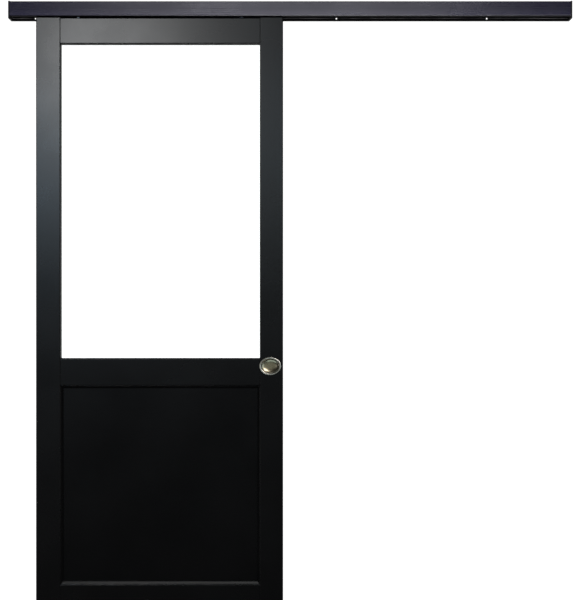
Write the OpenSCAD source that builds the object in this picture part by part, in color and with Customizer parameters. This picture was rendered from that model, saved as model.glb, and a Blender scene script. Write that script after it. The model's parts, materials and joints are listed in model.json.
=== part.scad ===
// Sliding door set: a wall profile with its track and pelmet cover, a half-glazed panelled leaf
// that hangs from two four-wheel trolleys, two end stops, a floor guide and two flush cup pulls.
// X runs along the track, the wall is the plane y = 0 with the set in front of it at negative y,
// and Z is up. The origin is the middle of the row of wall holes, on the wall.

/* [Leaf] */
// Width of the door leaf
leaf_w = 830; // [780:10:880]
// Height of the door leaf
leaf_h = 2040; // [1990:5:2090]
// Thickness of the door leaf
leaf_t = 40; // [40:1:42]
// Face width of the left stile
left_stile_w = 82; // [78:1:95]
// Face width of the right stile
right_stile_w = 78; // [76:1:95]
// Face height of the top rail
top_rail_h = 87; // [85:1:100]
// Face height of the middle rail
mid_rail_h = 92; // [90:1:110]
// Face height of the bottom rail
bottom_rail_h = 137; // [120:1:160]
// Height of the window between the top and middle rails
window_h = 1057; // [900:1:1060]
// Thickness of the glass pane
glass_t = 5; // [4:1:6]
// Thickness of the lower panel
panel_t = 12; // [10:1:14]

/* [Track and cover] */
// Length of the track, the wall profile and the cover
track_len = 1882; // [1802:10:2002]
// Height of the pelmet cover
cover_h = 50; // [50:1:60]
// Distance from the wall to the cover's front face
cover_depth = 64; // [64:1:70]
// Thickness of the end caps
cap_t = 5; // [3:1:8]
// Distance between neighbouring wall holes
wall_pitch = 510; // [480:10:550]
// Radius of the wall holes
wall_hole_r = 2.75; // [2.25:0.25:3.5]

/* [Running gear] */
// Radius of the trolley wheels
wheel_r = 11; // [10:0.5:11]
// Distance from each leaf edge to the middle of its trolley
trolley_inset = 140; // [135:5:200]
// Travel of the leaf between the buffers
travel = 780; // [600:10:800]
// Gap between the leaf and the floor
floor_gap = 8; // [7:1:10]

/* [Flush pulls] */
// Width of the oval cup pulls
pull_w = 73; // [60:1:73]
// Height of the oval cup pulls
pull_h = 60; // [50:1:61]
// Distance from the leaf's right edge to the middle of the pulls
pull_inset = 43.5; // [42:0.5:45]
// Distance from the leaf's top edge down to the middle of the pulls
pull_drop = 1170; // [1169:1:1175]

/* [Hidden] */
$fn = 48;

// Small sizes shared by many pieces
cut = 1;              // how far a cutting shape runs past the face it cuts
fit_gap = 0.05;       // radial gap around pins, screws and dowels
slip_gap = 0.2;       // gap around pieces let into a recess

// Wall profile: a flange on the wall and a leg above the track
flange_t = 4;
flange_bottom = -9;
leg_t = 3.5;
leg_top = cover_h - 4;
leg_bottom = leg_top - leg_t;
port_size = 8.5;      // block in the inner corner that takes the end cap screw
port_y = -flange_t - port_size / 2;
port_z = leg_bottom - port_size / 2;
port_r = 1.9;
groove_half = 1.2;    // half width of the V groove along the row of wall holes
groove_depth = 0.8;
wall_sink_r = 4.6;
wall_sink_h = 1.6;
wall_hole_x = [for (i = [-1.5:1:1.5]) i * wall_pitch];

// Pelmet cover, hooked over the leg
cover_front = -cover_depth;
cover_t = 2.5;
cover_return_t = 2;
cover_top = leg_top + cover_return_t;
cover_bottom = cover_top - cover_h;
cover_inner = cover_front + cover_t;
cover_back = -22.8;   // rear end of the top return
hook_w = 2.9;
hook_h = 1.2;
nose_front = cover_inner + 0.3;
nose_w = 2.7;
nose_h = 5;
bevel_h = 6.5;        // sloping lower border of the cover's face
bevel_in = 1.6;
lip_w = 3.6;          // lip turned in along the cover's lower edge
snap_w = 2.3;

// Track: a C-shaped rail with its slot downwards
track_y = -36;
track_half = 16.5;
track_t = 2.5;
track_h = 30;
track_top = leg_bottom;
track_bottom = track_top - track_h;
lip_top = track_bottom + track_t;
slot_half = 6;
bore_half = track_half - track_t;
track_left = -wall_pitch * 1.5 - 77.5;
track_right = track_left + track_len;
rail_screw_r = 1.9;
rail_screw_head_r = 3.6;
rail_screw_head_h = 2.2;
rail_screw_x = [for (i = [0:6]) track_left + 22.5 + i * (track_len - 45) / 6];

// End caps stand a little proud of the cover
cap_proud = 1.5;
spigot_len = 10;
cap_screw_len = 22;
cap_screw_head_r = 3.6;
cap_screw_head_h = 2.2;

// Leaf
leaf_left = track_left + 87;
leaf_right = leaf_left + leaf_w;
leaf_top = cover_bottom - 4;
leaf_bottom = leaf_top - leaf_h;
leaf_back = -16;
leaf_front = leaf_back - leaf_t;
leaf_mid_y = (leaf_front + leaf_back) / 2;
open_left = leaf_left + left_stile_w;
open_right = leaf_right - right_stile_w;
window_top = leaf_top - top_rail_h;
window_bottom = window_top - window_h;
panel_top = window_bottom - mid_rail_h;
panel_bottom = leaf_bottom + bottom_rail_h;
floor_z = leaf_bottom - floor_gap;
edge_r = 3;           // rounding along the edges of the stiles and rails
rail_step = 1;        // the rails' faces lie this far behind the stiles'

// Glazing, held in a rebate by beads at the back
rebate = 8;
lip_t = 12;           // thickness of the lip in front of the glass
tape_t = 1;
tape_w = 5;
glass_gap = 2;
lip_back = leaf_front + lip_t;
glass_front = lip_back + tape_t;
bead_front = glass_front + glass_t + 0.1;
bead_back = leaf_back - rail_step - 0.5;
half_window_w = (open_right - open_left) / 2;
half_window_h = window_h / 2;

// Lower panel, loose in a groove
groove_deep = 10;
panel_edge = 8.5;
panel_front = leaf_mid_y - panel_t / 2;
panel_back = leaf_mid_y + panel_t / 2;
panel_bead_w = 8;     // mitred mouldings in the corner between the frame and the panel
panel_bead_face = 1.5;
panel_bead_sink = 1;  // how far their front edge lies behind the rails' faces
panel_bead_low = 5;   // height of their inner edge above the panel

// Dowels that join rails to stiles
dowel_r = 4;
dowel_len = 78;
dowel_z = [
    leaf_top - 40, leaf_top - 64,
    window_bottom - 24, window_bottom - 70,
    panel_bottom - 27, panel_bottom - 97
];

// Trolleys and hangers
trolley_x = [leaf_left + trolley_inset, leaf_right - trolley_inset];
trolley_half_len = 30;
trolley_half_w = 5.4;
trolley_bottom = lip_top + 3;
trolley_top = trolley_bottom + 16;
axle_z = lip_top + 0.3 + wheel_r;
axle_offset = 17;
axle_r = 2.5;
axle_head_r = 3.6;
axle_head_t = 1;
wheel_w = 6;
wheel_in = 6.2;       // from the middle of the track to the wheel's inner face
wheel_mid = wheel_in + wheel_w / 2;
bearing_r = 8;
bearing_w = 5;
spacer_r = 4;
bolt_r = 4;
bolt_top = trolley_top - 3;
hex_r = 7.5;
bolt_head_h = 5.3;
nut_h = 4;
plate_len = 90;
plate_w = 26;
plate_t = 3;
plate_screw_r = 2;
plate_screw_head_r = 4;
plate_screw_head_h = 2.2;
plate_screw_len = 25;
plate_screw_dx = 36;
plate_screw_dy = 7;
pocket_len = 30;
pocket_w = 20;
pocket_deep = 15;

// End stops and buffers
stop_len = 26;
stop_half_w = 13.6;
stop_top = lip_top + 18;
buffer_r = 6;
buffer_len = 8;
buffer_z = lip_top + 10;
buffer_gap = 0.3;
buffer_stem_r = 3;
buffer_stem_len = 6;
left_face = trolley_x[0] - trolley_half_len - buffer_gap - buffer_len;
right_face = trolley_x[1] + travel + trolley_half_len + buffer_gap + buffer_len;
stop_x = [left_face - stop_len / 2, right_face + stop_len / 2];
clamp_half_w = 10;
clamp_t = 3;
stop_screw_r = 2.5;
stop_screw_head_r = 4.25;
stop_screw_head_h = 4.6;
stop_screw_len = 16;

// Floor guide and the channel that runs over it
channel_half = 6;
channel_t = 2;
channel_h = 22;
guide_x = leaf_right - 25;
guide_half_t = 3;
guide_fin_len = 36;
guide_base_t = 2.5;
guide_base_len = 84;
guide_base_w = 32;
guide_hole_dx = 30;
guide_hole_r = 2.25;
guide_sink_r = 4.1;
guide_sink_h = 1.5;
guide_top = leaf_bottom + 16;
channel_screw_r = 1.5;
channel_screw_head_r = 2.6;
channel_screw_head_h = 1.4;
channel_screw_len = 16;
channel_screw_x = [for (i = [0:4]) leaf_left + 30 + i * (leaf_w - 60) / 4];

// Flush cup pulls: a dish with a narrow rim
pull_x = leaf_right - pull_inset;
pull_z = leaf_top - pull_drop;
pull_r = pull_h / 2;
pull_rim_t = 1.6;
dish_r = pull_r - 5;
dish_deep = 11.5;
dish_t = 1.1;
dish_steps = 10;
recess_r = dish_r + 1.6;
recess_flat = dish_r * (pull_w / pull_h - 1) + 0.3;
recess_deep = 14;

// A box between two opposite corners
module block(low, high) {
    translate(low) cube(high - low);
}

// A rectangle between two opposite corners, with its corners rounded
module round_outline(low, high, r) {
    for (u = [low.x + r, high.x - r], v = [low.y + r, high.y - r]) {
        translate([u, v]) circle(r = r);
    }
    translate([low.x + r, low.y]) square([high.x - low.x - 2 * r, high.y - low.y]);
    translate([low.x, low.y + r]) square([high.x - low.x, high.y - low.y - 2 * r]);
}

// Sweeps an outline drawn in (y, z) from x0 to x1
module along_x(x0, x1) {
    translate([x0, 0, 0]) rotate([90, 0, 90]) linear_extrude(x1 - x0) children();
}

// Sweeps an outline drawn in (x, z) from y0 to y1
module along_y(y0, y1) {
    translate([0, y1, 0]) rotate([90, 0, 0]) linear_extrude(y1 - y0) children();
}

// Round bars along each axis, starting at a point
module bar_x(start, r, len) {
    translate(start) rotate([0, 90, 0]) cylinder(r = r, h = len);
}

module bar_y(start, r, len) {
    translate(start) rotate([-90, 0, 0]) cylinder(r = r, h = len);
}

module bar_z(start, r, len) {
    translate(start) cylinder(r = r, h = len);
}

// A cross-slot cut down into a screw head from z = 0
module cross_slot(size, deep) {
    translate([0, 0, -deep / 2 + 0.01]) {
        cube([size, size / 5, deep], center = true);
        cube([size / 5, size, deep], center = true);
    }
}

// Countersunk screw, its head flush with z = 0 and its shank downwards
module sunk_screw(r, head_r, head_h, len) {
    difference() {
        union() {
            translate([0, 0, -head_h]) cylinder(r1 = r, r2 = head_r, h = head_h);
            translate([0, 0, -len]) cylinder(r = r, h = len - head_h);
        }
        cross_slot(head_r * 1.1, head_h * 0.6);
    }
}

// The hole that such a screw sits in
module sunk_hole(r, head_r, head_h, len) {
    translate([0, 0, -head_h]) cylinder(r1 = r + fit_gap, r2 = head_r + fit_gap, h = head_h);
    translate([0, 0, -len - fit_gap]) cylinder(r = r + fit_gap, h = len + cut);
    cylinder(r = head_r + fit_gap, h = cut);
}

// Hexagon prism with a flat facing +Y, as bolt heads and nuts are turned here
module hex_prism(r, h) {
    cylinder(r = r, h = h, $fn = 6);
}

module wall_profile() {
    color("#26262b") difference() {
        along_x(track_left, track_right) polygon([
            [0, flange_bottom],
            [0, leg_top],
            [cover_back + 0.3, leg_top],
            [cover_back + 0.3, leg_top - hook_h - slip_gap],
            [cover_back - hook_w - 0.3, leg_top - hook_h - slip_gap],
            [cover_back - hook_w - 0.3, leg_top],
            [nose_front, leg_top],
            [nose_front, leg_top - nose_h],
            [nose_front + nose_w, leg_top - nose_h],
            [nose_front + nose_w, leg_bottom],
            [-flange_t - port_size, leg_bottom],
            [-flange_t - port_size, leg_bottom - port_size + 3],
            [-flange_t - port_size + 3, leg_bottom - port_size],
            [-flange_t, leg_bottom - port_size],
            [-flange_t, groove_half],
            [-flange_t + groove_depth, 0],
            [-flange_t, -groove_half],
            [-flange_t, flange_bottom]
        ]);
        for (x = wall_hole_x) {
            bar_y([x, -flange_t - cut, 0], wall_hole_r, flange_t + 2 * cut);
            translate([x, -flange_t, 0]) rotate([-90, 0, 0])
                cylinder(r1 = wall_sink_r, r2 = wall_hole_r, h = wall_sink_h);
        }
        for (x = rail_screw_x) {
            bar_z([x, track_y, leg_bottom - cut], rail_screw_r + fit_gap, leg_t + 2 * cut);
        }
        bar_x([track_left - cut, port_y, port_z], port_r + fit_gap, track_len + 2 * cut);
    }
}

module track_rail() {
    outline = [
        [slot_half, track_bottom],
        [track_half, track_bottom],
        [track_half, track_top],
        [-track_half, track_top],
        [-track_half, track_bottom],
        [-slot_half, track_bottom],
        [-slot_half, lip_top],
        [-bore_half, lip_top],
        [-bore_half, track_top - track_t],
        [bore_half, track_top - track_t],
        [bore_half, lip_top],
        [slot_half, lip_top]
    ];
    color("#3a3b3f") difference() {
        translate([0, track_y, 0]) along_x(track_left, track_right) polygon(outline);
        for (x = rail_screw_x) {
            bar_z([x, track_y, track_top - track_t - cut], rail_screw_r + fit_gap, track_t + 2 * cut);
        }
    }
}

module rail_screws() {
    web = track_top - track_t;
    color("silver") for (x = rail_screw_x) {
        translate([x, track_y, 0]) difference() {
            union() {
                bar_z([0, 0, web - rail_screw_head_h], rail_screw_head_r, rail_screw_head_h);
                bar_z([0, 0, web], rail_screw_r, leg_top - web - slip_gap);
            }
            translate([0, 0, web - rail_screw_head_h - 0.01])
                hex_prism(rail_screw_r * 0.8, rail_screw_head_h * 0.6);
        }
    }
}

module pelmet_cover() {
    color("#4b4b55") along_x(track_left, track_right) polygon([
        [cover_back, cover_top],
        [cover_front + 0.8, cover_top],
        [cover_front, cover_top - 0.8],
        [cover_front, cover_bottom + bevel_h],
        [cover_front + bevel_in, cover_bottom],
        [cover_inner + lip_w, cover_bottom],
        [cover_inner + lip_w, cover_bottom + cover_t],
        [cover_inner + 0.6, cover_bottom + cover_t],
        [cover_inner, cover_bottom + bevel_h],
        [cover_inner, leg_top - nose_h - snap_w - slip_gap],
        [cover_inner + snap_w, leg_top - nose_h - snap_w / 2 - slip_gap],
        [cover_inner + snap_w, leg_top - nose_h - slip_gap],
        [cover_inner, leg_top - nose_h - slip_gap],
        [cover_inner, leg_top],
        [cover_back - hook_w, leg_top],
        [cover_back - hook_w, leg_top - hook_h],
        [cover_back, leg_top - hook_h]
    ]);
}

// End cap with its inner face at x = 0 and its spigot towards +X
module end_cap() {
    low = flange_bottom;
    high = cover_top + cap_proud;
    front = cover_front - cap_proud;
    color("#17171a") difference() {
        union() {
            along_x(-cap_t, 0) polygon([
                [0, low],
                [0, high - 2],
                [-2, high],
                [front + 2, high],
                [front, high - 2],
                [front, low + 2],
                [front + 2, low]
            ]);
            block(
                [0, track_y - bore_half + 0.3, lip_top + 0.3],
                [spigot_len, track_y + bore_half - 0.3, track_top - track_t - 0.3]
            );
        }
        translate([-cap_t, port_y, port_z]) rotate([0, -90, 0])
            sunk_hole(port_r, cap_screw_head_r, cap_screw_head_h, cap_screw_len);
    }
}

module end_cap_left() {
    translate([track_left, 0, 0]) end_cap();
}

module end_cap_right() {
    translate([track_right, 0, 0]) mirror([1, 0, 0]) end_cap();
}

module end_cap_screws() {
    color("#2a2a2d") for (side = [0, 1]) {
        translate([side == 0 ? track_left - cap_t : track_right + cap_t, port_y, port_z])
            rotate([0, side == 0 ? -90 : 90, 0])
                sunk_screw(port_r, cap_screw_head_r, cap_screw_head_h, cap_screw_len);
    }
}

// Stop block centred on x = 0, its buffer socket on the side that dir points to
module stop_block(dir) {
    color("#8f9195") difference() {
        along_y(track_y - stop_half_w, track_y + stop_half_w) polygon([
            [-stop_len / 2, lip_top],
            [-stop_len / 2, stop_top - 3],
            [-stop_len / 2 + 3, stop_top],
            [stop_len / 2 - 3, stop_top],
            [stop_len / 2, stop_top - 3],
            [stop_len / 2, lip_top]
        ]);
        bar_z([0, track_y, lip_top - cut], stop_screw_r + fit_gap, stop_screw_len);
        translate([dir * stop_len / 2, track_y, buffer_z]) rotate([0, -dir * 90, 0])
            translate([0, 0, -cut])
                cylinder(r = buffer_stem_r + fit_gap, h = buffer_stem_len + cut + slip_gap);
    }
}

module stop_left() {
    translate([stop_x[0], 0, 0]) stop_block(1);
}

module stop_right() {
    translate([stop_x[1], 0, 0]) stop_block(-1);
}

// Rubber buffer that grows from x = 0 in the direction dir, with its stem behind it
module stop_buffer(dir) {
    color("#161616") translate([0, track_y, buffer_z]) rotate([0, dir * 90, 0]) rotate_extrude()
        polygon([
            [0, -buffer_stem_len],
            [buffer_stem_r, -buffer_stem_len],
            [buffer_stem_r, 0],
            [buffer_r, 0],
            [buffer_r, buffer_len - 2],
            [buffer_r - 1, buffer_len - 0.5],
            [buffer_r - 2.5, buffer_len],
            [0, buffer_len]
        ]);
}

module stop_buffer_left() {
    translate([left_face, 0, 0]) stop_buffer(1);
}

module stop_buffer_right() {
    translate([right_face, 0, 0]) stop_buffer(-1);
}

module stop_clamp_plates() {
    color("silver") for (x = stop_x) {
        difference() {
            block(
                [x - stop_len / 2, track_y - clamp_half_w, track_bottom - clamp_t],
                [x + stop_len / 2, track_y + clamp_half_w, track_bottom]
            );
            bar_z([x, track_y, track_bottom - clamp_t - cut], stop_screw_r + slip_gap, clamp_t + 2 * cut);
        }
    }
}

module stop_screws() {
    seat = track_bottom - clamp_t;
    color("#55565a") for (x = stop_x) {
        translate([x, track_y, seat]) difference() {
            union() {
                bar_z([0, 0, -stop_screw_head_h], stop_screw_head_r, stop_screw_head_h);
                bar_z([0, 0, 0], stop_screw_r, stop_screw_len);
            }
            translate([0, 0, -stop_screw_head_h - 0.01]) hex_prism(2.3, 2.6);
        }
    }
}

module floor_guide() {
    base_top = floor_z + guide_base_t;
    fin_half = guide_fin_len / 2 - guide_half_t;
    end_half = guide_base_len / 2 - guide_base_w / 2;
    color("#1d1d1f") translate([guide_x, track_y, 0]) difference() {
        union() {
            block([-end_half, -guide_base_w / 2, floor_z], [end_half, guide_base_w / 2, base_top]);
            for (side = [-1, 1]) {
                bar_z([side * end_half, 0, floor_z], guide_base_w / 2, guide_base_t);
                bar_z([side * fin_half, 0, base_top], guide_half_t, guide_top - base_top);
            }
            block([-fin_half, -guide_half_t, base_top], [fin_half, guide_half_t, guide_top]);
        }
        for (side = [-1, 1]) {
            bar_z([side * guide_hole_dx, 0, floor_z - cut], guide_hole_r, guide_base_t + 2 * cut);
            translate([side * guide_hole_dx, 0, base_top - guide_sink_h])
                cylinder(r1 = guide_hole_r, r2 = guide_sink_r, h = guide_sink_h);
        }
    }
}

// Bores for the dowels, shared by the stiles and rails
module dowel_bores() {
    for (x = [open_left, open_right], z = dowel_z) {
        bar_x([x - dowel_len / 2 - 1, leaf_mid_y, z], dowel_r + fit_gap, dowel_len + 2);
    }
}

// Rebate for the glass and its beads, open to the back
module glass_rebate() {
    block(
        [open_left - rebate, lip_back, window_bottom - rebate],
        [open_right + rebate, leaf_back + cut, window_top + rebate]
    );
}

// Groove around the lower panel
module panel_groove() {
    block(
        [open_left - groove_deep, panel_front - 0.1, panel_bottom - groove_deep],
        [open_right + groove_deep, panel_back + 0.1, panel_top + groove_deep]
    );
}

// Groove in the bottom edge for the guide channel, with pilot holes above it
module channel_groove() {
    roof = leaf_bottom + channel_h + 0.1;
    block(
        [leaf_left - cut, leaf_mid_y - channel_half - 0.1, leaf_bottom - cut],
        [leaf_right + cut, leaf_mid_y + channel_half + 0.1, roof]
    );
    for (x = channel_screw_x) {
        bar_z([x, leaf_mid_y, roof - cut], channel_screw_r + fit_gap, channel_screw_len + cut);
    }
}

// Oval pockets for the cup pulls, one from each face
module pull_pockets() {
    for (y = [leaf_front - cut, leaf_back - recess_deep]) {
        for (side = [-1, 1]) {
            bar_y([pull_x + side * recess_flat, y, pull_z], recess_r, recess_deep + cut);
        }
        block(
            [pull_x - recess_flat, y, pull_z - recess_r],
            [pull_x + recess_flat, y + recess_deep + cut, pull_z + recess_r]
        );
    }
}

module stile(x0, x1) {
    color("#121214") difference() {
        translate([0, 0, leaf_bottom]) linear_extrude(leaf_h)
            round_outline([x0, leaf_front], [x1, leaf_back], edge_r);
        glass_rebate();
        panel_groove();
        channel_groove();
        dowel_bores();
        pull_pockets();
    }
}

module left_stile() {
    stile(leaf_left, open_left);
}

module right_stile() {
    stile(open_right, leaf_right);
}

// A rail between the stiles, from z0 up to z1
module cross_rail(z0, z1) {
    along_x(open_left, open_right)
        round_outline([leaf_front + rail_step, z0], [leaf_back - rail_step, z1], edge_r);
}

module top_rail() {
    color("#121214") difference() {
        cross_rail(window_top, leaf_top);
        glass_rebate();
        dowel_bores();
        for (x = trolley_x) {
            block(
                [x - plate_len / 2 - slip_gap, track_y - plate_w / 2 - slip_gap, leaf_top - plate_t],
                [x + plate_len / 2 + slip_gap, track_y + plate_w / 2 + slip_gap, leaf_top + cut]
            );
            block(
                [x - pocket_len / 2, track_y - pocket_w / 2, leaf_top - pocket_deep],
                [x + pocket_len / 2, track_y + pocket_w / 2, leaf_top]
            );
        }
        hanger_screw_places() bar_z([0, 0, -plate_screw_len - 1], plate_screw_r + fit_gap, plate_screw_len);
    }
}

module mid_rail() {
    color("#121214") difference() {
        cross_rail(panel_top, window_bottom);
        glass_rebate();
        panel_groove();
        dowel_bores();
    }
}

module bottom_rail() {
    color("#121214") difference() {
        cross_rail(leaf_bottom, panel_bottom);
        panel_groove();
        channel_groove();
        dowel_bores();
    }
}

module lower_panel() {
    color("#101012") block(
        [open_left - panel_edge, panel_front, panel_bottom - panel_edge],
        [open_right + panel_edge, panel_back, panel_top + panel_edge]
    );
}

module frame_dowels() {
    color("#b08a5a") for (x = [open_left, open_right], z = dowel_z) {
        bar_x([x - dowel_len / 2, leaf_mid_y, z], dowel_r, dowel_len);
    }
}

module glass_pane() {
    edge = rebate - glass_gap;
    color([0.8, 0.87, 0.88, 0.3]) block(
        [open_left - edge, glass_front, window_bottom - edge],
        [open_right + edge, glass_front + glass_t, window_top + edge]
    );
}

// Soft tape between the front lip and the glass
module glazing_tape() {
    outer = rebate - glass_gap;
    inner = outer - tape_w;
    color("#0b0b0b") difference() {
        block(
            [open_left - outer, lip_back, window_bottom - outer],
            [open_right + outer, lip_back + tape_t, window_top + outer]
        );
        block(
            [open_left - inner, lip_back - cut, window_bottom - inner],
            [open_right + inner, lip_back + tape_t + cut, window_top + inner]
        );
    }
}

// A mitred bead as wide as the rebate, long_half at its outer edge, drawn along u
module bead_outline(long_half) {
    polygon([
        [-long_half, rebate - 0.1],
        [long_half, rebate - 0.1],
        [long_half - rebate + 0.1, 0],
        [-long_half + rebate - 0.1, 0]
    ]);
}

// Places a bead on the side of the window that turn points to
module glazing_bead(turn, long_half, away) {
    mid_x = (open_left + open_right) / 2;
    mid_z = (window_top + window_bottom) / 2;
    color("#121214") translate([mid_x, 0, mid_z]) rotate([0, turn, 0])
        along_y(bead_front, bead_back) translate([0, away]) bead_outline(long_half - slip_gap);
}

module glazing_bead_top() {
    glazing_bead(0, half_window_w + rebate, half_window_h);
}

module glazing_bead_right() {
    glazing_bead(90, half_window_h + rebate, half_window_w);
}

module glazing_bead_bottom() {
    glazing_bead(180, half_window_w + rebate, half_window_h);
}

module glazing_bead_left() {
    glazing_bead(270, half_window_h + rebate, half_window_w);
}

// A moulding that slopes from the frame down to the panel, with its outer edge on the X axis and
// its ends mitred; long_half is half its outer length, and it grows towards -Z
module panel_bead(long_half) {
    foot = panel_front - leaf_front - rail_step - panel_bead_sink;
    intersection() {
        along_x(-long_half, long_half) polygon([
            [0, 0],
            [-foot, 0],
            [-foot, -panel_bead_face],
            [-panel_bead_low, -panel_bead_w],
            [0, -panel_bead_w]
        ]);
        along_y(-foot - cut, cut) polygon([
            [-long_half, 0],
            [long_half, 0],
            [long_half - panel_bead_w - cut, -panel_bead_w - cut],
            [-long_half + panel_bead_w + cut, -panel_bead_w - cut]
        ]);
    }
}

// Places a moulding on the side of the panel that turn points to, on the leaf's front or back
module placed_panel_bead(turn, back) {
    half_w = (open_right - open_left) / 2;
    half_h = (panel_top - panel_bottom) / 2;
    upright = turn % 180 == 90;
    reach = upright ? half_w : half_h;
    color("#121214") translate([
        (open_left + open_right) / 2,
        back ? panel_back : panel_front,
        (panel_top + panel_bottom) / 2
    ])
        mirror([0, back ? 1 : 0, 0]) rotate([0, turn, 0]) translate([0, 0, reach - fit_gap])
            panel_bead((upright ? half_h : half_w) - slip_gap);
}

module panel_bead_top() {
    placed_panel_bead(0, false);
}

module panel_bead_right() {
    placed_panel_bead(90, false);
}

module panel_bead_bottom() {
    placed_panel_bead(180, false);
}

module panel_bead_left() {
    placed_panel_bead(270, false);
}

module panel_beads_back() {
    for (turn = [0, 90, 180, 270]) {
        placed_panel_bead(turn, true);
    }
}

// The four screw places of both hanger plates, on the plates' top faces
module hanger_screw_places() {
    for (x = trolley_x, dx = [-1, 1], dy = [-1, 1]) {
        translate([x + dx * plate_screw_dx, track_y + dy * plate_screw_dy, leaf_top]) children();
    }
}

module hanger_plate(x) {
    color("silver") difference() {
        block(
            [x - plate_len / 2, track_y - plate_w / 2, leaf_top - plate_t],
            [x + plate_len / 2, track_y + plate_w / 2, leaf_top]
        );
        bar_z([x, track_y, leaf_top - plate_t - cut], bolt_r + slip_gap, plate_t + 2 * cut);
        hanger_screw_places()
            sunk_hole(plate_screw_r, plate_screw_head_r, plate_screw_head_h, plate_screw_len);
    }
}

module hanger_plate_left() {
    hanger_plate(trolley_x[0]);
}

module hanger_plate_right() {
    hanger_plate(trolley_x[1]);
}

module hanger_plate_screws() {
    color("silver") hanger_screw_places()
        sunk_screw(plate_screw_r, plate_screw_head_r, plate_screw_head_h, plate_screw_len);
}

module hanger_bolts() {
    head_top = leaf_top - plate_t;
    color("#9a9ca0") for (x = trolley_x) {
        translate([x, track_y, head_top - bolt_head_h]) hex_prism(hex_r, bolt_head_h);
        bar_z([x, track_y, head_top], bolt_r, bolt_top - head_top);
    }
}

module lock_nuts() {
    color("#9a9ca0") for (x = trolley_x) {
        translate([x, track_y, leaf_top]) difference() {
            hex_prism(hex_r, nut_h);
            bar_z([0, 0, -cut], bolt_r + fit_gap, nut_h + 2 * cut);
        }
    }
}

module trolley(x) {
    chamfer = 3;
    color("#7d8085") translate([x, track_y, 0]) difference() {
        union() {
            along_y(-trolley_half_w, trolley_half_w) polygon([
                [-trolley_half_len, trolley_bottom + chamfer],
                [-trolley_half_len, trolley_top - chamfer],
                [-trolley_half_len + chamfer, trolley_top],
                [trolley_half_len - chamfer, trolley_top],
                [trolley_half_len, trolley_top - chamfer],
                [trolley_half_len, trolley_bottom + chamfer],
                [trolley_half_len - chamfer, trolley_bottom],
                [-trolley_half_len + chamfer, trolley_bottom]
            ]);
            for (dx = [-1, 1]) {
                bar_y([dx * axle_offset, -wheel_in, axle_z], spacer_r, 2 * wheel_in);
            }
        }
        for (dx = [-1, 1]) {
            bar_y([dx * axle_offset, -wheel_in - cut, axle_z], axle_r + fit_gap, 2 * (wheel_in + cut));
        }
        bar_z([0, 0, trolley_bottom - cut], bolt_r + fit_gap, trolley_top - trolley_bottom + 2 * cut);
    }
}

module trolley_left() {
    trolley(trolley_x[0]);
}

module trolley_right() {
    trolley(trolley_x[1]);
}

module wheel_axles() {
    half = wheel_in + wheel_w + slip_gap;
    color("silver") for (x = trolley_x, dx = [-1, 1]) {
        translate([x + dx * axle_offset, track_y, axle_z]) {
            bar_y([0, -half, 0], axle_r, 2 * half);
            bar_y([0, -half - axle_head_t, 0], axle_head_r, axle_head_t);
            bar_y([0, half, 0], axle_head_r, axle_head_t);
        }
    }
}

// Puts a child, turned so that its axis lies along Y, at wheel number 1 to 4 of a trolley
module at_wheel(x, number) {
    dx = number <= 2 ? -1 : 1;
    dy = number % 2 == 1 ? -1 : 1;
    translate([x + dx * axle_offset, track_y + dy * wheel_mid, axle_z]) rotate([-90, 0, 0]) children();
}

module tyre() {
    half = wheel_w / 2;
    color("#e6e2d6") rotate_extrude() polygon([
        [bearing_r + 0.02, -half],
        [wheel_r - 1.4, -half],
        [wheel_r - 0.3, -half + 0.8],
        [wheel_r, -half + 1.8],
        [wheel_r, half - 1.8],
        [wheel_r - 0.3, half - 0.8],
        [wheel_r - 1.4, half],
        [bearing_r + 0.02, half]
    ]);
}

module bearing() {
    half = bearing_w / 2;
    shield = half - 0.4;
    color("silver") rotate_extrude() polygon([
        [axle_r + fit_gap, -half],
        [axle_r + 1.5, -half],
        [axle_r + 1.5, -shield],
        [bearing_r - 1.3, -shield],
        [bearing_r - 1.3, -half],
        [bearing_r, -half],
        [bearing_r, half],
        [bearing_r - 1.3, half],
        [bearing_r - 1.3, shield],
        [axle_r + 1.5, shield],
        [axle_r + 1.5, half],
        [axle_r + fit_gap, half]
    ]);
}

module guide_channel() {
    roof = leaf_bottom + channel_h;
    inner = channel_half - channel_t;
    color("#8f9195") translate([0, leaf_mid_y, 0]) difference() {
        along_x(leaf_left + 1, leaf_right - 1) polygon([
            [-channel_half, leaf_bottom],
            [-channel_half, roof],
            [channel_half, roof],
            [channel_half, leaf_bottom],
            [inner, leaf_bottom],
            [inner, roof - channel_t],
            [-inner, roof - channel_t],
            [-inner, leaf_bottom]
        ]);
        for (x = channel_screw_x) {
            translate([x, 0, roof - channel_t]) mirror([0, 0, 1])
                sunk_hole(channel_screw_r, channel_screw_head_r, channel_screw_head_h, channel_screw_len);
        }
    }
}

module guide_channel_screws() {
    color("silver") for (x = channel_screw_x) {
        translate([x, leaf_mid_y, leaf_bottom + channel_h - channel_t]) mirror([0, 0, 1])
            sunk_screw(channel_screw_r, channel_screw_head_r, channel_screw_head_h, channel_screw_len);
    }
}

// A point on the dish at an angle from its rim, for an outer radius and depth
function dish_point(r, deep, angle) = [r * cos(angle), -deep * sin(angle)];

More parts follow.
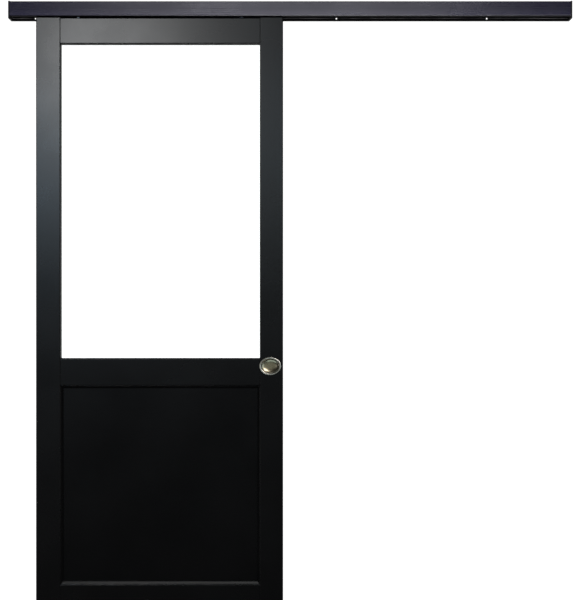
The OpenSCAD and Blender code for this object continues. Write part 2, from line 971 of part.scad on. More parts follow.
// Cup pull with its axis on Z, its rim's back face at z = 0 and its dish going down
module cup_pull() {
    angles = [for (i = [0:dish_steps]) 90 * i / dish_steps];
    inside = [for (a = angles) dish_point(dish_r, dish_deep, a)];
    outside = [for (i = [dish_steps:-1:0]) dish_point(dish_r + dish_t, dish_deep + dish_t, angles[i])];
    rim = [
        [pull_r - 0.6, 0],
        [pull_r, pull_rim_t * 0.4],
        [pull_r - 0.5, pull_rim_t * 0.8],
        [pull_r - 1.6, pull_rim_t],
        [dish_r + 1.4, pull_rim_t],
        [dish_r + 0.4, pull_rim_t * 0.7]
    ];
    color("#b9b7b0") resize([pull_w, pull_h, 0]) rotate_extrude($fn = 64)
        polygon(concat(inside, outside, rim));
}

module cup_pull_front() {
    translate([pull_x, leaf_front, pull_z]) rotate([90, 0, 0]) cup_pull();
}

module cup_pull_back() {
    translate([pull_x, leaf_back, pull_z]) rotate([-90, 0, 0]) cup_pull();
}

wall_profile();
track_rail();
rail_screws();
pelmet_cover();
end_cap_left();
end_cap_right();
end_cap_screws();
stop_left();
stop_right();
stop_buffer_left();
stop_buffer_right();
stop_clamp_plates();
stop_screws();
floor_guide();
left_stile();
right_stile();
top_rail();
mid_rail();
bottom_rail();
lower_panel();
frame_dowels();
glass_pane();
glazing_tape();
glazing_bead_top();
glazing_bead_bottom();
glazing_bead_left();
glazing_bead_right();
panel_bead_top();
panel_bead_bottom();
panel_bead_left();
panel_bead_right();
panel_beads_back();
hanger_plate_left();
hanger_plate_right();
hanger_plate_screws();
hanger_bolts();
lock_nuts();
trolley_left();
trolley_right();
wheel_axles();
guide_channel();
guide_channel_screws();
cup_pull_front();
cup_pull_back();
for (number = [1:4]) {
    at_wheel(trolley_x[0], number) tyre();
    at_wheel(trolley_x[1], number) tyre();
    at_wheel(trolley_x[0], number) bearing();
    at_wheel(trolley_x[1], number) bearing();
}
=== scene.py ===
"""Sliding door set: materials, flush pulls, floor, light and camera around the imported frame.

Metres, in the row's frame: X along the track, the wall at y = 0 with the set in front of it, Z up.
"""
import json
import math

import bpy
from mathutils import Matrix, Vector

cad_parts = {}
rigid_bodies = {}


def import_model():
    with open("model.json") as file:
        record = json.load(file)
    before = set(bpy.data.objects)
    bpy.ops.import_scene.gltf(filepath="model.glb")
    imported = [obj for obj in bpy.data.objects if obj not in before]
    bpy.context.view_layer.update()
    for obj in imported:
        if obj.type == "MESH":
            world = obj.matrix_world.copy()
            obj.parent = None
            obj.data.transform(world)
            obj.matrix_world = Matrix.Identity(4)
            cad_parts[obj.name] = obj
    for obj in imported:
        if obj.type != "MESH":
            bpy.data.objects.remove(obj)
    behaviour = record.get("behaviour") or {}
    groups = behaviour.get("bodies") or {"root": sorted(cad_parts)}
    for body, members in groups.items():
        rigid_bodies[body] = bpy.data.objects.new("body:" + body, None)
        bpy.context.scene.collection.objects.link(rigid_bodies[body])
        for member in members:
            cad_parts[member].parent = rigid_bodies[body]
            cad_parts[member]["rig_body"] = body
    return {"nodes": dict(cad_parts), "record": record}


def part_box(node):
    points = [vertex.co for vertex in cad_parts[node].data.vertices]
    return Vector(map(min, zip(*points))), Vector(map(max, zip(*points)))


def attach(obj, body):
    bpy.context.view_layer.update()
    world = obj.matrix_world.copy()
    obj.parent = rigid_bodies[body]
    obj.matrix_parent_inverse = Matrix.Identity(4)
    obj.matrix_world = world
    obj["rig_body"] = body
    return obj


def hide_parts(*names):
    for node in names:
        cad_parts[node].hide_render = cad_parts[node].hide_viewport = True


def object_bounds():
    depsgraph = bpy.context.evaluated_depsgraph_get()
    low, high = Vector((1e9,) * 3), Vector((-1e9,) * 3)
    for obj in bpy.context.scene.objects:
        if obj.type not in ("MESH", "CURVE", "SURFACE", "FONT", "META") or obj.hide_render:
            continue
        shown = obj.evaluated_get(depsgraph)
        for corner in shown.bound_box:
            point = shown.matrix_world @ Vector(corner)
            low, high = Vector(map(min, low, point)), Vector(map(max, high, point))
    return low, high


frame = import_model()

CAD_LOW, CAD_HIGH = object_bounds()
NODES = frame["nodes"]
RECORD = frame["record"]
BODIES = RECORD["behaviour"]["bodies"]
SLOT_OF = {part["node"]: part["material_slot"] for part in RECORD["subparts"]}
MM = 0.001


# ---------------------------------------------------------------- node helpers

# Cosine of the turn between the true and the rounded normal, on a flat and on an edge
FLAT_COSINE = 0.97
EDGE_COSINE = 0.75


class Look:
    """A material with one Principled surface, and short calls for the nodes that feed it."""

    def __init__(self, name, **values):
        self.material = bpy.data.materials.new(name)
        self.material.use_nodes = True
        self.tree = self.material.node_tree
        self.surface = self.tree.nodes["Principled BSDF"]
        self.place = self.add("ShaderNodeTexCoord").outputs["Object"]
        for socket, value in values.items():
            self.surface.inputs[socket.replace("_", " ")].default_value = value

    def add(self, kind, **settings):
        node = self.tree.nodes.new(kind)
        for key, value in settings.items():
            setattr(node, key, value)
        return node

    def feed(self, socket, value):
        """Puts a number or another node's output into a socket."""
        if isinstance(value, bpy.types.NodeSocket):
            self.tree.links.new(value, socket)
        else:
            socket.default_value = value

    def stretched(self, x=1.0, y=1.0, z=1.0):
        """The object's own coordinates, scaled along each axis."""
        mapping = self.add("ShaderNodeMapping")
        self.feed(mapping.inputs["Vector"], self.place)
        mapping.inputs["Scale"].default_value = (x, y, z)
        return mapping.outputs["Vector"]

    def noise(self, scale, vector=None, detail=2.0, roughness=0.5):
        node = self.add("ShaderNodeTexNoise")
        self.feed(node.inputs["Vector"], vector or self.place)
        self.feed(node.inputs["Scale"], scale)
        self.feed(node.inputs["Detail"], detail)
        self.feed(node.inputs["Roughness"], roughness)
        return node.outputs["Fac"]

    def spread(self, value, low, high, to_low, to_high):
        """Maps a value from one range to another, and holds it at the ends."""
        node = self.add("ShaderNodeMapRange")
        inputs = ("Value", "From Min", "From Max", "To Min", "To Max")
        for socket, number in zip(inputs, (value, low, high, to_low, to_high)):
            self.feed(node.inputs[socket], number)
        return node.outputs["Result"]

    def maths(self, operation, a, b=0.0):
        node = self.add("ShaderNodeMath", operation=operation)
        self.feed(node.inputs[0], a)
        self.feed(node.inputs[1], b)
        return node.outputs["Value"]

    def mix(self, share, colour_a, colour_b):
        node = self.add("ShaderNodeMix", data_type="RGBA")
        self.feed(node.inputs["Factor"], share)
        self.feed(node.inputs["A"], colour_a)
        self.feed(node.inputs["B"], colour_b)
        return node.outputs["Result"]

    def separate(self):
        node = self.add("ShaderNodeSeparateXYZ")
        self.feed(node.inputs["Vector"], self.place)
        return node.outputs["X"], node.outputs["Y"], node.outputs["Z"]

    def across(self, a, b):
        """The length of the vector (a, b)."""
        squares = self.maths("ADD", self.maths("MULTIPLY", a, a), self.maths("MULTIPLY", b, b))
        return self.maths("SQRT", squares)

    def edges(self, radius):
        """1 on edges that stick out or in within the radius, 0 on flats."""
        bevel = self.add("ShaderNodeBevel", samples=4)
        bevel.inputs["Radius"].default_value = radius
        plain = self.add("ShaderNodeNewGeometry")
        dot = self.add("ShaderNodeVectorMath", operation="DOT_PRODUCT")
        self.feed(dot.inputs[0], bevel.outputs["Normal"])
        self.feed(dot.inputs[1], plain.outputs["Normal"])
        return self.spread(dot.outputs["Value"], FLAT_COSINE, EDGE_COSINE, 0.0, 1.0)

    def bump(self, height, distance, under=None):
        """Relief of the given depth, on top of the relief under it."""
        node = self.add("ShaderNodeBump")
        node.inputs["Strength"].default_value = 1.0
        node.inputs["Distance"].default_value = distance
        self.feed(node.inputs["Height"], height)
        if under:
            self.feed(node.inputs["Normal"], under)
        return node.outputs["Normal"]

    def finish(self, colour=None, roughness=None, normal=None):
        for socket, value in (("Base Color", colour), ("Roughness", roughness), ("Normal", normal)):
            if value is not None:
                self.feed(self.surface.inputs[socket], value)
        return self.material


def rgb(r, g, b):
    return (r, g, b, 1.0)


BLACK = rgb(0.0, 0.0, 0.0)


# ---------------------------------------------------------------- materials

def lacquer(name, along_grain, tone=1.0, gloss=0.27):
    """Black satin lacquer on board: fine orange peel, a trace of grain, soft rubbed edges."""
    look = Look(name, Specular_IOR_Level=0.5)
    mottle = look.noise(5.0, detail=4.0)
    grain_scale = [240.0, 240.0, 240.0]
    grain_scale[along_grain] = 5.0
    grain = look.noise(1.0, look.stretched(*grain_scale), detail=5.0, roughness=0.6)
    peel = look.noise(420.0, detail=2.0)
    patches = look.spread(look.noise(38.0, detail=5.0), 0.42, 0.6, 0.0, 1.0)
    rub = look.maths("MULTIPLY", look.edges(1.2 * MM), patches)
    dark = rgb(0.0036 * tone, 0.0036 * tone, 0.0039 * tone)
    pale = rgb(0.0060 * tone, 0.0060 * tone, 0.0064 * tone)
    wear_and_painted_highlight = rgb(0.022, 0.021, 0.020)
    colour = look.mix(rub, look.mix(mottle, dark, pale), wear_and_painted_highlight)
    rough = look.maths(
        "ADD",
        look.spread(mottle, 0.3, 0.7, gloss - 0.015, gloss + 0.02),
        look.maths("MULTIPLY", rub, 0.12),
    )
    relief = look.bump(peel, 0.012 * MM, under=look.bump(grain, 0.02 * MM))
    return look.finish(colour, rough, relief)


# Heights between which a painted sheen makes the cover's skin lighter, and between which painted shade turns
# its lower edge dark
PAINTED_SHEEN_TOP, PAINTED_SHEEN_LOW = 22.0 * MM, 3.0 * MM
PAINTED_SHADE_TOP, PAINTED_SHADE_LOW = 1.2 * MM, -0.4 * MM
# The wall holes along z = 0, the lighter ring round each, and the groove that joins them, along which a
# highlight is painted
HOLE_PITCH = 0.510
FIRST_HOLE = HOLE_PITCH / 2
HOLE_RIM_R = 4.8 * MM
GROOVE_HALF = 1.25 * MM


def anodised(name, colour, roughness, painted_light_amount=0.0, grooved=False, wear=0.6):
    """Extruded aluminium with an anodised skin: die lines along X, faint clouds, lighter edges.

    A rise paints light and shade on: a painted sheen makes the skin lighter towards z = 0, and painted shade
    darkens its lower edge. Where it is grooved, a painted highlight of light metal colour runs in patches
    along the groove, and a lighter ring goes round each wall hole."""
    look = Look(name, Metallic=1.0)
    lines = look.noise(1.0, look.stretched(1.2, 900.0, 900.0), detail=4.0, roughness=0.7)
    wide = look.noise(1.0, look.stretched(0.8, 90.0, 90.0), detail=2.0)
    cloud = look.noise(7.0, detail=3.0)
    lift = look.maths("MULTIPLY", look.edges(0.5 * MM), wear)
    streak = look.maths("ADD", look.maths("MULTIPLY", lines, 0.5), look.maths("MULTIPLY", wide, 0.5))
    low = rgb(*(c * 0.84 for c in colour))
    high = rgb(*(c * 1.20 for c in colour))
    edge = rgb(*(min(1.0, c * 2.2 + 0.04) for c in colour))
    tone = look.mix(lift, look.mix(streak, low, high), edge)
    rough = look.spread(look.maths("ADD", cloud, lines), 0.6, 1.4, roughness - 0.05, roughness + 0.06)
    x, _, z = look.separate()
    if painted_light_amount:
        # Painted sheen: the skin darkens towards the top, so that it reads lighter near z = 0
        tone = look.mix(look.spread(z, PAINTED_SHEEN_TOP, PAINTED_SHEEN_LOW, painted_light_amount, 0.0), tone, BLACK)
        # Painted shade: the lower edge turns almost black
        tone = look.mix(look.spread(z, PAINTED_SHADE_TOP, PAINTED_SHADE_LOW, 0.0, 0.97), tone, BLACK)
    if grooved:
        span = look.maths("MODULO", look.maths("ABSOLUTE", x), HOLE_PITCH)
        reach = look.across(look.maths("SUBTRACT", span, FIRST_HOLE), z)
        rim = look.spread(reach, HOLE_RIM_R, HOLE_RIM_R * 0.97, 0.0, 1.0)
        groove = look.spread(look.maths("ABSOLUTE", z), GROOVE_HALF, GROOVE_HALF * 0.9, 0.0, 1.0)
        wear_and_painted_highlight = look.spread(look.noise(1.0, look.stretched(9.0, 1.0, 1.0), detail=3.0), 0.4, 0.6, 0.25, 0.9)
        # Painted highlight: a stripe of light metal colour along the groove, in patches, standing in for a
        # lit line on the profile
        tone = look.mix(look.maths("MULTIPLY", groove, wear_and_painted_highlight), tone, rgb(0.62, 0.62, 0.63))
        tone = look.mix(rim, tone, rgb(0.14, 0.14, 0.145))
    return look.finish(tone, rough, look.bump(lines, 0.02 * MM, under=look.bump(wide, 0.03 * MM)))


def plated(name, colour, roughness, speckle=90.0):
    """Zinc or nickel plate: small cloudy crystals and rubbed bright edges."""
    look = Look(name, Metallic=1.0)
    cloud = look.noise(speckle, detail=4.0, roughness=0.65)
    fine = look.noise(1400.0, detail=1.0)
    dull = rgb(*(c * 0.8 for c in colour))
    bright = rgb(*(min(1.0, c * 1.12) for c in colour))
    tone = look.mix(look.edges(0.4 * MM), look.mix(cloud, dull, rgb(*colour)), bright)
    rough = look.spread(cloud, 0.3, 0.7, roughness - 0.06, roughness + 0.08)
    return look.finish(tone, rough, look.bump(fine, 0.008 * MM))


def cast_metal(name, colour, roughness):
    """Die-cast zinc: pebbled skin with darker hollows."""
    look = Look(name, Metallic=1.0)
    pebble = look.noise(900.0, detail=3.0, roughness=0.6)
    cloud = look.noise(60.0, detail=4.0)
    tone = look.mix(cloud, rgb(*(c * 0.72 for c in colour)), rgb(*colour))
    tone = look.mix(look.edges(0.4 * MM), tone, rgb(*(min(1.0, c * 1.4) for c in colour)))
    rough = look.spread(pebble, 0.3, 0.7, roughness - 0.08, roughness + 0.1)
    return look.finish(tone, rough, look.bump(pebble, 0.03 * MM))


def moulded(name, colour, roughness, spark=700.0):
    """Moulded plastic or rubber: spark-eroded texture and slightly polished edges."""
    look = Look(name, Specular_IOR_Level=0.5)
    skin = look.noise(spark, detail=3.0, roughness=0.6)
    cloud = look.noise(30.0, detail=3.0)
    tone = look.mix(cloud, rgb(*(c * 0.85 for c in colour)), rgb(*(c * 1.1 for c in colour)))
    polish = look.maths("MULTIPLY", look.edges(0.5 * MM), -0.12)
    rough = look.maths("ADD", look.spread(skin, 0.3, 0.7, roughness - 0.05, roughness + 0.05), polish)
    return look.finish(tone, rough, look.bump(skin, 0.02 * MM))


def brushed_nickel(name):
    """Satin nickel, brushed in rings round the pull, warmer and darker in the bowl by a painted reflection
    of a warm room.
    """
    look = Look(name, Metallic=1.0)
    x, _, z = look.separate()
    low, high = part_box("cup_pull_front")
    centre = (low + high) / 2
    dx = look.maths("SUBTRACT", x, centre.x)
    dz = look.maths("MULTIPLY", look.maths("SUBTRACT", z, centre.z), (high.x - low.x) / (high.z - low.z))
    reach = look.across(dx, dz)
    turned = look.add("ShaderNodeCombineXYZ")
    look.feed(turned.inputs["X"], look.maths("MULTIPLY", reach, 2600.0))
    look.feed(turned.inputs["Y"], look.maths("ARCTAN2", dz, dx))
    rings = look.noise(1.0, turned.outputs["Vector"], detail=3.0, roughness=0.6)
    cloud = look.noise(160.0, detail=3.0)
    rim_start = (high.x - low.x) / 2 * 0.80
    bowl_painted_reflection_share = look.spread(reach, rim_start, rim_start * 0.93, 0.0, 1.0)
    rim = look.mix(rings, rgb(0.42, 0.41, 0.38), rgb(0.56, 0.55, 0.52))
    # Painted reflection: the bowl's colour is darker and warmer than the rim's, standing in for a warm room
    # reflected in it
    bowl = look.mix(cloud, rgb(0.25, 0.23, 0.16), rgb(0.36, 0.33, 0.25))
    rough = look.spread(rings, 0.3, 0.7, 0.24, 0.34)
    return look.finish(look.mix(bowl_painted_reflection_share, rim, bowl), rough, look.bump(rings, 0.01 * MM))


def beech(name):
    """Turned beech: fine pores along X and soft growth bands."""
    look = Look(name)
    pores = look.noise(1.0, look.stretched(60.0, 1500.0, 1500.0), detail=3.0, roughness=0.7)
    bands = look.noise(1.0, look.stretched(6.0, 260.0, 260.0), detail=2.0)
    tone = look.mix(bands, rgb(0.43, 0.27, 0.14), rgb(0.56, 0.38, 0.21))
    tone = look.mix(look.spread(pores, 0.55, 0.75, 0.0, 0.7), tone, rgb(0.22, 0.12, 0.06))
    return look.finish(tone, look.spread(pores, 0.3, 0.7, 0.5, 0.65), look.bump(pores, 0.05 * MM))


def clear_glass(name):
    """Clear float glass with the faint waviness of a real pane."""
    look = Look(name, Base_Color=rgb(0.965, 0.985, 0.978), Roughness=0.0, IOR=1.5, Transmission_Weight=1.0)
    wave = look.noise(2.5, detail=1.0)
    return look.finish(normal=look.bump(wave, 0.05 * MM))


def painted_floor(name):
    """Pale matt floor for the stage."""
    look = Look(name, Specular_IOR_Level=0.2)
    cloud = look.noise(3.0, detail=3.0)
    tone = look.mix(cloud, rgb(0.86, 0.86, 0.86), rgb(0.9, 0.9, 0.9))
    return look.finish(tone, 0.8)


MATERIALS = {
    "anodised_cover": anodised("anodised_cover", (0.140, 0.139, 0.144), 0.28, painted_light_amount=0.30, wear=0.15),
    "dark_profile": anodised("dark_profile", (0.060, 0.060, 0.066), 0.40, grooved=True),
    "track_aluminium": anodised("track_aluminium", (0.50, 0.51, 0.53), 0.34),
    "cap_plastic": moulded("cap_plastic", (0.010, 0.010, 0.011), 0.45),
    "guide_plastic": moulded("guide_plastic", (0.014, 0.014, 0.015), 0.50),
    "zinc_steel": plated("zinc_steel", (0.62, 0.63, 0.66), 0.32),
    "bolt_steel": plated("bolt_steel", (0.50, 0.50, 0.52), 0.28, 140.0),
    "black_steel": plated("black_steel", (0.045, 0.045, 0.050), 0.40),
    "bearing_steel": plated("bearing_steel", (0.66, 0.66, 0.68), 0.18, 200.0),
    "cast_zinc": cast_metal("cast_zinc", (0.42, 0.43, 0.45), 0.46),
    "buffer_rubber": moulded("buffer_rubber", (0.013, 0.013, 0.013), 0.70, 500.0),
    "black_tape": moulded("black_tape", (0.006, 0.006, 0.006), 0.75, 900.0),
    "wheel_nylon": moulded("wheel_nylon", (0.72, 0.69, 0.60), 0.38, 1100.0),
    "beech": beech("beech"),
    "clear_glass": clear_glass("clear_glass"),
    "satin_nickel": brushed_nickel("satin_nickel"),
    "black_panel": lacquer("black_panel", 2, 0.85, 0.25),
}
LEVEL_LACQUER = lacquer("black_lacquer_level", 0)
UPRIGHT_LACQUER = lacquer("black_lacquer_upright", 2)
UPRIGHT = (
    "left_stile", "right_stile", "glazing_bead_left", "glazing_bead_right",
    "panel_bead_left", "panel_bead_right",
)


def material_of(node):
    """The material of a CAD node's slot, its lacquer with the grain along the piece."""
    slot = SLOT_OF[node]
    if slot == "black_lacquer":
        return UPRIGHT_LACQUER if node in UPRIGHT else LEVEL_LACQUER
    return MATERIALS[slot]


# ---------------------------------------------------------------- softened CAD pieces

def soften(node, width, segments):
    """Rounds a CAD piece's sharp edges, so that they catch light as finished edges do."""
    piece = NODES[node]
    weld = piece.modifiers.new("merge", "WELD")
    weld.merge_threshold = 0.01 * MM
    flats = piece.modifiers.new("flats", "DECIMATE")
    flats.decimate_type = "DISSOLVE"
    flats.angle_limit = math.radians(1.0)
    bevel = piece.modifiers.new("round", "BEVEL")
    bevel.limit_method = "ANGLE"
    bevel.angle_limit = math.radians(35.0)
    bevel.width = width
    bevel.segments = segments
    bevel.use_clamp_overlap = True
    normals = piece.modifiers.new("shade", "WEIGHTED_NORMAL")
    normals.keep_sharp = False


for name, piece in NODES.items():
    for slot in piece.material_slots:
        slot.material = material_of(name)

SOFTENED = (
    # nodes, width of the rounding in mm, segments
    (("left_stile", "right_stile", "top_rail", "mid_rail", "bottom_rail"), 0.5, 3),
    (("glazing_bead_top", "glazing_bead_bottom", "glazing_bead_left", "glazing_bead_right"), 0.8, 3),
    (("panel_bead_top", "panel_bead_bottom", "panel_bead_left", "panel_bead_right"), 0.6, 3),
    (("panel_beads_back",), 0.6, 3),
    (("pelmet_cover", "wall_profile", "track_rail", "guide_channel"), 0.25, 2),
    (("end_cap_left", "end_cap_right", "floor_guide"), 0.4, 2),
    (("stop_left", "stop_right", "trolley_left", "trolley_right"), 0.5, 2),
    (("hanger_plate_left", "hanger_plate_right", "stop_clamp_plates"), 0.3, 2),
)
for names, width, segments in SOFTENED:
    for name in names:
        soften(name, width * MM, segments)


# ---------------------------------------------------------------- flush pulls

PULL_TURNS = 160
BOWL_STEPS = 22
RIM_WIDTH = 5.0 * MM
RIM_PROUD = 1.6 * MM
SHELL = 1.1 * MM


def pull_profile(rim_r, depth):
    """(distance from the axis, height above the leaf's face), from the rim's foot to the bowl's centre."""
    wall = rim_r - RIM_WIDTH
    foot = [(rim_r - 0.4 * MM, -0.2 * MM), (rim_r, 0.3 * MM), (rim_r - 0.05 * MM, 0.8 * MM)]
    crown = [
        (rim_r - 0.4 * MM, RIM_PROUD * 0.84),
        (rim_r - 1.2 * MM, RIM_PROUD),
        (wall + 1.9 * MM, RIM_PROUD),
        (wall + 1.0 * MM, RIM_PROUD * 0.86),
        (wall + 0.4 * MM, RIM_PROUD * 0.5),
    ]
    bowl = []
    for i in range(BOWL_STEPS + 1):
        angle = math.radians(90) * i / BOWL_STEPS
        bowl.append((wall * math.cos(angle) ** 0.8, -depth * math.sin(angle) ** 0.9))
    return foot + crown + bowl


def flush_pull(name, node, outward):
    """An oval dished pull, closed behind by a thin shell, with its rim on the leaf's face."""
    low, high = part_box(node)
    centre = (low + high) / 2
    rim_x = (high.x - low.x) / 2
    rim_z = (high.z - low.z) / 2
    depth = (high.y - low.y) - RIM_PROUD - SHELL
    face = low.y + RIM_PROUD if outward < 0 else high.y - RIM_PROUD
    outline = pull_profile(rim_z, depth)
    rings = outline[:-1]
    verts = []
    faces = []
    for r, h in rings:
        for i in range(PULL_TURNS):
            angle = 2 * math.pi * i / PULL_TURNS
            verts.append((
                centre.x + r * math.cos(angle) * rim_x / rim_z,
                face + outward * h,
                centre.z + r * math.sin(angle),
            ))
    tip = len(verts)
    verts.append((centre.x, face + outward * outline[-1][1], centre.z))
    for k in range(len(rings) - 1):
        for i in range(PULL_TURNS):
            j = (i + 1) % PULL_TURNS
            a, b = k * PULL_TURNS, (k + 1) * PULL_TURNS
            faces.append((a + i, a + j, b + j, b + i))
    last = (len(rings) - 1) * PULL_TURNS
    for i in range(PULL_TURNS):
        faces.append((last + i, last + (i + 1) % PULL_TURNS, tip))
    mesh = bpy.data.meshes.new(name)
    mesh.from_pydata(verts, [], faces)
    mesh.materials.append(MATERIALS["satin_nickel"])
    mesh.shade_smooth()
    piece = bpy.data.objects.new(name, mesh)
    bpy.context.scene.collection.objects.link(piece)
    thick = piece.modifiers.new("shell", "SOLIDIFY")
    thick.thickness = SHELL * 0.8
    thick.offset = -1.0 if outward < 0 else 1.0
    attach(piece, "door")
    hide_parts(node)


flush_pull("pull_shell_front", "cup_pull_front", -1)
flush_pull("pull_shell_back", "cup_pull_back", 1)


# ---------------------------------------------------------------- floor

FLOOR_HALF_X = 3.0
FLOOR_FRONT = -5.0
FLOOR_BACK = 0.42


def stage_floor():
    """A pale floor under the leaf, which stops just short of the photo camera's view."""
    middle = (CAD_LOW.x + CAD_HIGH.x) / 2
    left, right = middle - FLOOR_HALF_X, middle + FLOOR_HALF_X
    corners = [(left, FLOOR_FRONT), (right, FLOOR_FRONT), (right, FLOOR_BACK), (left, FLOOR_BACK)]
    mesh = bpy.data.meshes.new("floor")
    mesh.from_pydata([(x, y, CAD_LOW.z) for x, y in corners], [], [(0, 1, 2, 3)])
    mesh.materials.append(painted_floor("painted_floor"))
    piece = bpy.data.objects.new("floor", mesh)
    bpy.context.scene.collection.objects.link(piece)
    piece.visible_glossy = False
    piece.visible_diffuse = False
    return piece


floor = stage_floor()


# ---------------------------------------------------------------- light

def collect(name, members):
    """A collection for light linking: a light given it shines on these objects only."""
    group = bpy.data.collections.new(name)
    for member in members:
        group.objects.link(member)
    return group


def soft_light(name, place, target, size, power, colour, group):
    """A rectangular soft light that no camera sees and that lights one group of objects."""
    data = bpy.data.lights.new(name, "AREA")
    data.shape = "RECTANGLE"
    data.size, data.size_y = size
    data.energy = power
    data.color = colour
    light = bpy.data.objects.new(name, data)
    light.location = place
    light.rotation_mode = "QUATERNION"
    light.rotation_quaternion = (Vector(target) - Vector(place)).to_track_quat("-Z", "Y")
    light.visible_camera = False
    light.visible_transmission = False
    if group:
        light.light_linking.receiver_collection = group
    bpy.context.scene.collection.objects.link(light)


COVER_NODES = ("pelmet_cover", "end_cap_left", "end_cap_right")
PIECES = [o for o in bpy.data.objects if o.type == "MESH" and o.get("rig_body")]
PULLS = collect("pull_pieces", [o for o in PIECES if o.name.startswith("pull_shell")])
COVER = collect("cover_pieces", [o for o in PIECES if o.name in COVER_NODES])
LIT_APART = {"glass_pane", *COVER_NODES, *(o.name for o in PULLS.objects)}
LEAF = collect(
    "leaf_pieces",
    [o for o in PIECES if o["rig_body"] != "wall_assembly" and o.name not in LIT_APART])
HARDWARE = collect(
    "hardware_pieces",
    [o for o in PIECES if o["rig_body"] == "wall_assembly" and o.name not in LIT_APART])
FLOOR = collect("floor_pieces", [floor])

MIDDLE = (CAD_LOW + CAD_HIGH) / 2
LEAF_SPOT = (-0.54, -0.056, -0.15)
COVER_SPOT = (0.165, -0.064, 0.02)
PULL_LOW, PULL_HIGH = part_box("cup_pull_front")
PULL_SPOT = (PULL_LOW + PULL_HIGH) / 2
WHITE = (1.0, 1.0, 1.0)
LIGHTS = (
    # name, place, target, size, watts, colour, the group it lights (None for everything)
    ("leaf_key", (-1.17, -5.5, 0.66), LEAF_SPOT, (0.4, 0.4), 31.0, WHITE, LEAF),
    ("leaf_left", (-1.60, -5.5, 0.0), LEAF_SPOT, (0.4, 0.4), 8.0, (0.45, 0.74, 1.0), LEAF),
    ("leaf_right", (0.20, -5.5, 0.20), LEAF_SPOT, (0.5, 0.5), 2.7, (0.62, 0.84, 1.0), LEAF),
    ("leaf_low", (0.0, -5.5, -0.30), LEAF_SPOT, (0.5, 0.5), 1.0, (0.82, 0.97, 1.0), LEAF),
    ("cover_key", (0.05, -5.5, 1.0), COVER_SPOT, (2.3, 0.4), 13.5, WHITE, COVER),
    ("cover_low", (0.35, -4.6, -1.2), COVER_SPOT, (2.0, 0.3), 34.0, WHITE, COVER),
    ("cover_fill", (0.1, -4.5, 0.3), COVER_SPOT, (6.0, 2.5), 7.5, (0.05, 0.0, 1.0), COVER),
    ("pull_key", (1.7, -2.5, 0.8), PULL_SPOT, (2.2, 1.6), 100.0, (1.0, 0.93, 0.88), PULLS),
    ("pull_fill", (0.0, -3.6, -1.6), PULL_SPOT, (3.5, 2.5), 9.0, (0.95, 1.0, 0.88), PULLS),
    ("pull_low", (-0.2, -0.7, -1.95), PULL_SPOT, (1.2, 0.4), 2.4, (0.76, 0.96, 1.0), PULLS),
    ("pull_side", (1.1, -0.9, -1.1), PULL_SPOT, (0.6, 1.2), 3.5, (0.76, 0.96, 1.0), PULLS),
    ("hardware_fill", (0.4, -4.0, -1.9), (0.4, -0.03, 0.02), (3.0, 0.6), 12.0, WHITE, HARDWARE),
    ("floor_light", (MIDDLE.x, -1.0, 4.0), (MIDDLE.x, -0.3, CAD_LOW.z), (8.0, 8.0), 900.0, WHITE, FLOOR),
    ("side_left", (MIDDLE.x - 3.9, -5.0, -1.3), MIDDLE, (2.6, 2.6), 12.0, WHITE, None),
    ("side_right", (MIDDLE.x + 3.9, -5.0, -1.3), MIDDLE, (2.6, 2.6), 10.0, WHITE, None),
    ("back_left", (MIDDLE.x - 3.4, 4.2, -0.9), MIDDLE, (2.6, 3.0), 24.0, WHITE, None),
    ("back_right", (MIDDLE.x + 3.4, 4.2, -0.9), MIDDLE, (2.6, 3.0), 24.0, WHITE, None),
    ("back_key", (-1.8, 5.0, 1.3), (0.0, 0.0, -0.4), (1.2, 1.2), 30.0, WHITE, None),
    ("top_light", (MIDDLE.x, -0.9, 4.2), (MIDDLE.x, -0.03, -0.5), (3.5, 1.5), 20.0, WHITE, None),
)
for light in LIGHTS:
    soft_light(*light)

# The world's strength where it is seen, on matt surfaces, and in reflections of the front and of the back
WORLD_SEEN = 1.1
WORLD_MATT = 0.30
WORLD_GLOSS = 0.02
WORLD_GLOSS_BEHIND = 0.22


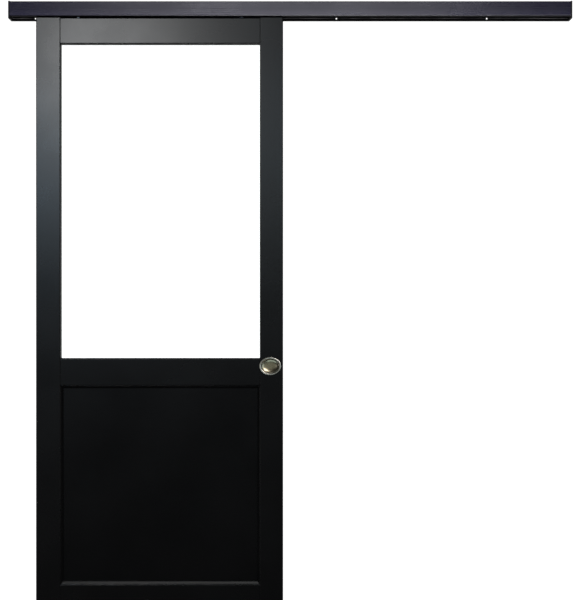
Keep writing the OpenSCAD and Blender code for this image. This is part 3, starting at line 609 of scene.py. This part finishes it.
def studio_world():
    """White to look at, softly bright on matt surfaces, and mostly dim in reflections.

    A reflection that has passed through the glass on its way is still a reflection, not the white itself."""
    world = bpy.data.worlds.new("studio")
    bpy.context.scene.world = world
    world.use_nodes = True
    tree = world.node_tree
    background = tree.nodes["Background"]
    background.inputs["Color"].default_value = (1.0, 1.0, 1.0, 1.0)

    def maths(operation, a, b):
        node = tree.nodes.new("ShaderNodeMath")
        node.operation = operation
        for socket, value in zip(node.inputs, (a, b)):
            if isinstance(value, bpy.types.NodeSocket):
                tree.links.new(value, socket)
            else:
                socket.default_value = value
        return node.outputs["Value"]

    path = tree.nodes.new("ShaderNodeLightPath")
    split = tree.nodes.new("ShaderNodeSeparateXYZ")
    direction = tree.nodes.new("ShaderNodeTexCoord")
    tree.links.new(direction.outputs["Generated"], split.inputs["Vector"])
    behind = tree.nodes.new("ShaderNodeMapRange")
    behind.interpolation_type = "SMOOTHSTEP"
    tree.links.new(split.outputs["Y"], behind.inputs["Value"])
    behind.inputs["To Max"].default_value = WORLD_GLOSS_BEHIND
    direct = maths("LESS_THAN", path.outputs["Glossy Depth"], 0.5)
    through = path.outputs["Is Transmission Ray"]
    seen = maths("MULTIPLY", maths("MAXIMUM", path.outputs["Is Camera Ray"], through), direct)
    mirrored = maths("MAXIMUM", path.outputs["Is Glossy Ray"], maths("SUBTRACT", through, direct))
    shown = maths("MULTIPLY", seen, WORLD_SEEN)
    matt = maths("MULTIPLY", path.outputs["Is Diffuse Ray"], WORLD_MATT)
    gloss = maths("MULTIPLY", mirrored, maths("ADD", behind.outputs["Result"], WORLD_GLOSS))
    tree.links.new(maths("ADD", maths("ADD", shown, matt), gloss), background.inputs["Strength"])


studio_world()


# ---------------------------------------------------------------- camera

CAMERA_PLACE = (0.0894, -5.564, -0.9542)
CAMERA_LENS_MM = 98.4
CAMERA_SENSOR_MM = 36.0


def photo_camera():
    """A level camera, square on to the wall."""
    data = bpy.data.cameras.new("camera")
    data.lens = CAMERA_LENS_MM
    data.sensor_width = CAMERA_SENSOR_MM
    camera = bpy.data.objects.new("camera", data)
    camera.location = CAMERA_PLACE
    camera.rotation_euler = (math.radians(90), 0.0, 0.0)
    bpy.context.scene.collection.objects.link(camera)
    bpy.context.scene.camera = camera


photo_camera()
bpy.context.scene.view_settings.view_transform = "Standard"
bpy.context.scene.view_settings.look = "None"
